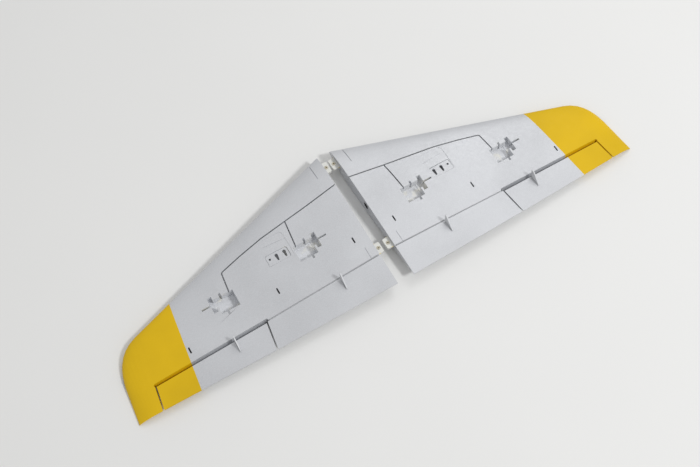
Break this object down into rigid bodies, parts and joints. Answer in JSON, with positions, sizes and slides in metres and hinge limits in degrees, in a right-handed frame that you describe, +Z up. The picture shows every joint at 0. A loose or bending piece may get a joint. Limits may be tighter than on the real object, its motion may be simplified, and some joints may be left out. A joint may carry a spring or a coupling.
{
  "type": "rc aeroplane wing panels",
  "caption": "Left and right moulded foam wing panels of a radio-controlled aeroplane, underside up, with hinged ailerons and flaps, open servo bays, joiner sockets and root lugs.",
  "frame": {"origin": "midway between the two panels and midway along the root chord, on the surface that the panels lie on", "axes": "+X along the span towards the panel on the right, +Y towards the leading edges, +Z up out of the underside skins"},
  "size_m": [0.7832, 0.2205, 0.034],
  "materials": {
    "painted_foam": "silver-grey paint over beaded foam, yellow at the tip",
    "painted_foam_aileron": "silver-grey paint over beaded foam, yellow at the outer end",
    "painted_foam_flap": "silver-grey paint over beaded foam",
    "hinge_strip": "flexible strip, painted over",
    "carbon_strip": "pultruded carbon, satin",
    "socket_tube": "black moulded tube",
    "root_lug_plastic": "moulded nylon, satin",
    "insert_brass": "turned, dull",
    "store_plate_plastic": "moulded plastic, painted over",
    "horn_plastic": "moulded nylon, satin"
  },
  "bodies": {
    "wing_pair": {"wing_panel_left": "painted_foam", "aileron_hinge_strip_left": "hinge_strip", "flap_hinge_strip_left": "hinge_strip", "spar_strip_left": "carbon_strip", "joiner_socket_left": "socket_tube", "front_lug_left": "root_lug_plastic", "front_lug_insert_left": "insert_brass", "rear_lug_left": "root_lug_plastic", "rear_lug_insert_left": "insert_brass", "store_plate_left": "store_plate_plastic", "wing_panel_right": "painted_foam", "aileron_hinge_strip_right": "hinge_strip", "flap_hinge_strip_right": "hinge_strip", "spar_strip_right": "carbon_strip", "joiner_socket_right": "socket_tube", "front_lug_right": "root_lug_plastic", "front_lug_insert_right": "insert_brass", "rear_lug_right": "root_lug_plastic", "rear_lug_insert_right": "insert_brass", "store_plate_right": "store_plate_plastic"},
    "aileron_body_left": {"aileron_left": "painted_foam_aileron", "aileron_horn_left": "horn_plastic"},
    "flap_body_left": {"flap_left": "painted_foam_flap", "flap_horn_left": "horn_plastic"},
    "aileron_body_right": {"aileron_right": "painted_foam_aileron", "aileron_horn_right": "horn_plastic"},
    "flap_body_right": {"flap_right": "painted_foam_flap", "flap_horn_right": "horn_plastic"}
  },
  "joints": [
    {"name": "aileron_hinge_left", "type": "hinge", "parent": "wing_pair", "child": "aileron_body_left", "pos_m": [-0.27002, -0.06761, 0.0047], "axis": [-0.9998, -0.0101, -0.0163], "range_deg": [-25, 25], "stiffness_Nm_per_rad": 0.02},
    {"name": "flap_hinge_left", "type": "hinge", "parent": "wing_pair", "child": "flap_body_left", "pos_m": [-0.10037, -0.06481, 0.01835], "axis": [-0.9994, -0.0224, -0.0278], "range_deg": [0, 45], "stiffness_Nm_per_rad": 0.02},
    {"name": "aileron_hinge_right", "type": "hinge", "parent": "wing_pair", "child": "aileron_body_right", "pos_m": [0.27002, -0.06761, 0.0047], "axis": [-0.9998, 0.0101, 0.0163], "range_deg": [-25, 25], "stiffness_Nm_per_rad": 0.02},
    {"name": "flap_hinge_right", "type": "hinge", "parent": "wing_pair", "child": "flap_body_right", "pos_m": [0.10037, -0.06481, 0.01835], "axis": [-0.9994, 0.0224, 0.0278], "range_deg": [0, 45], "stiffness_Nm_per_rad": 0.02}
  ]
}
